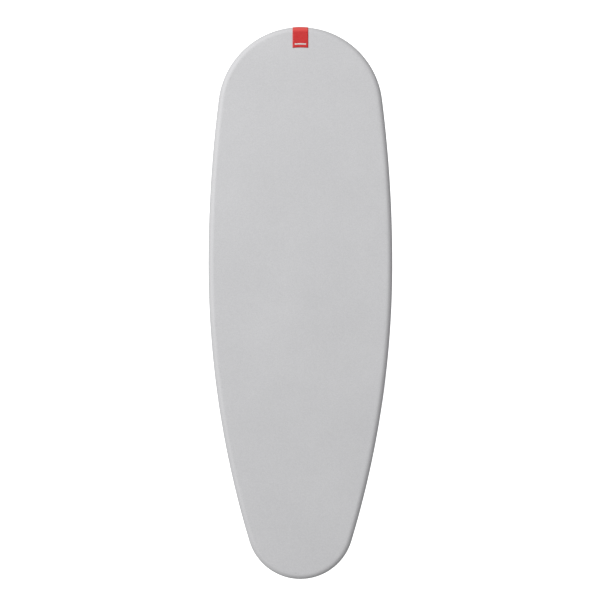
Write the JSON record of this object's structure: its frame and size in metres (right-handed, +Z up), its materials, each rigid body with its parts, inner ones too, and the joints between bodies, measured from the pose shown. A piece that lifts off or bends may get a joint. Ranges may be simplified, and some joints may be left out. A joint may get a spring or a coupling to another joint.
{
  "type": "ironing board",
  "caption": "Folding ironing board with a padded silver-grey cover on a mesh top, crossed tubular legs and a squeeze-lever height clamp.",
  "frame": {"origin": "on the floor, under the middle of the board's length and width", "axes": "+Z up, +Y towards the wide tail end with the label, -Y towards the narrow nose, X across"},
  "size_m": [0.4, 1.2, 0.8806],
  "materials": {
    "cover_fabric": "silver-grey metallised weave, soft sheen",
    "label_red": "woven red label with a plain white bar",
    "elastic_white": "ribbed elastic braid",
    "pad_felt": "matt felt over foam",
    "deck_steel": "light grey powder coat on expanded steel",
    "frame_paint": "light grey powder coat",
    "leg_paint": "light grey powder coat, satin",
    "zinc_steel": "bright zinc plate",
    "rod_steel": "polished chrome plate",
    "white_plastic": "natural white nylon",
    "dark_plastic": "dark grey moulded plastic, fine grain",
    "grip_rubber": "soft dark grey grip, fine grain"
  },
  "bodies": {
    "board": {"cover": "cover_fabric", "hem_elastic": "elastic_white", "label": "label_red", "pad": "pad_felt", "deck_mesh": "deck_steel", "rim_frame": "frame_paint", "tail_cross_member": "frame_paint", "pivot_cross_member": "frame_paint", "middle_cross_member": "frame_paint", "front_cross_member": "frame_paint", "nose_cross_member": "frame_paint", "rear_deck_strap": "frame_paint", "middle_deck_strap": "frame_paint", "front_deck_strap": "frame_paint", "pivot_bracket_left": "zinc_steel", "pivot_bracket_right": "zinc_steel", "bracket_rivets": "zinc_steel", "pivot_pin_left": "zinc_steel", "pivot_pin_right": "zinc_steel", "pivot_washers": "white_plastic", "rear_rod_hangers": "zinc_steel", "front_rod_hangers": "zinc_steel", "guide_rod_left": "rod_steel", "guide_rod_right": "rod_steel"},
    "outer_leg": {"outer_tube_left": "leg_paint", "outer_tube_right": "leg_paint", "outer_foot_bar": "leg_paint", "outer_crossbar": "leg_paint", "outer_foot_cap_left": "dark_plastic", "outer_foot_cap_right": "dark_plastic", "outer_tube_plugs": "dark_plastic", "crossing_bolt_left": "zinc_steel", "crossing_bolt_right": "zinc_steel", "crossing_nuts": "zinc_steel", "crossing_spacers": "white_plastic"},
    "inner_leg": {"inner_tube_left": "leg_paint", "inner_tube_right": "leg_paint", "inner_foot_bar": "leg_paint", "inner_crossbar": "leg_paint", "inner_foot_cap_left": "dark_plastic", "inner_foot_cap_right": "dark_plastic", "inner_tube_plugs": "dark_plastic", "slider_axle": "rod_steel", "axle_end_caps": "dark_plastic"},
    "slider": {"palm_sleeve": "grip_rubber", "clamp_housing_left": "dark_plastic", "clamp_housing_right": "dark_plastic", "clamp_spring_left": "zinc_steel", "clamp_spring_right": "zinc_steel", "lever_pins": "zinc_steel"},
    "clamp_plates": {"clamp_plate_left": "zinc_steel", "clamp_plate_right": "zinc_steel"},
    "release_lever": {"lever_arm_left": "dark_plastic", "lever_arm_right": "dark_plastic", "lever_bar": "zinc_steel", "lever_grip": "grip_rubber"}
  },
  "joints": [
    {"name": "fold", "type": "hinge", "parent": "board", "child": "outer_leg", "pos_m": [0, 0.38, 0.834], "axis": [-1, 0, 0], "range_deg": [0, 51.99]},
    {"name": "inner_leg_pivot", "type": "hinge", "parent": "outer_leg", "child": "inner_leg", "pos_m": [0, 0.15219, 0.54245], "axis": [-1, 0, 0], "range_deg": [-104, 0]},
    {"name": "slider_pivot", "type": "hinge", "parent": "inner_leg", "child": "slider", "pos_m": [0, -0.07562, 0.834], "axis": [-1, 0, 0], "range_deg": [0, 52]},
    {"name": "release", "type": "hinge", "parent": "slider", "child": "release_lever", "pos_m": [0, -0.07362, 0.808], "axis": [1, 0, 0], "range_deg": [0, 15], "stiffness_Nm_per_rad": 0.5, "springref_deg": -17.19},
    {"name": "clamp_tilt", "type": "hinge", "parent": "slider", "child": "clamp_plates", "pos_m": [0, -0.09262, 0.857], "axis": [1, 0, 0], "range_deg": [-5, 0]}
  ],
  "couplings": [
    {"joint": "inner_leg_pivot", "follows": "fold", "ratio": -2},
    {"joint": "slider_pivot", "follows": "fold", "ratio": 1},
    {"joint": "clamp_tilt", "follows": "release", "ratio": -0.33}
  ]
}
